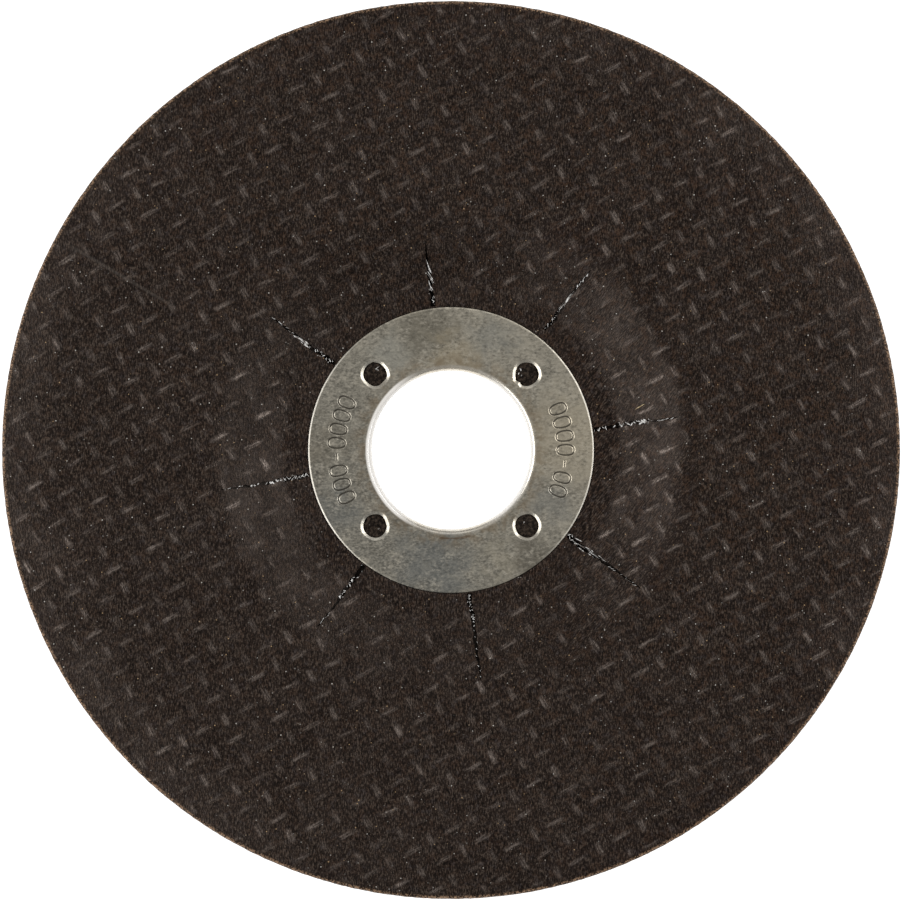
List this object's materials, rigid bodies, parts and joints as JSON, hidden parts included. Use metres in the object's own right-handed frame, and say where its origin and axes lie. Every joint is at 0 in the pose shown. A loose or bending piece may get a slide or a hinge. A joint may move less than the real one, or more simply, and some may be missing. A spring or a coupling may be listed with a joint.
{
  "type": "cut off wheel",
  "caption": "Round depressed-centre abrasive cutting disc with a woven glass mesh face, torn slits around the hub and a pressed steel ring lining the bore for a grinder spindle.",
  "frame": {"origin": "on the bore axis at the flat back face of the sunk hub", "axes": "+Z along the bore axis, out of the recessed face; the weave and slits keep the bearings seen in the picture with +X right and +Y up"},
  "size_m": [0.125, 0.125, 0.0072],
  "materials": {
    "abrasive": "matt dark brown bonded abrasive with woven mesh",
    "ring_steel": "dull mottled galvanised sheet"
  },
  "bodies": {
    "root": {"abrasive_wheel": "abrasive", "arbor_ring": "ring_steel"}
  },
  "joints": []
}
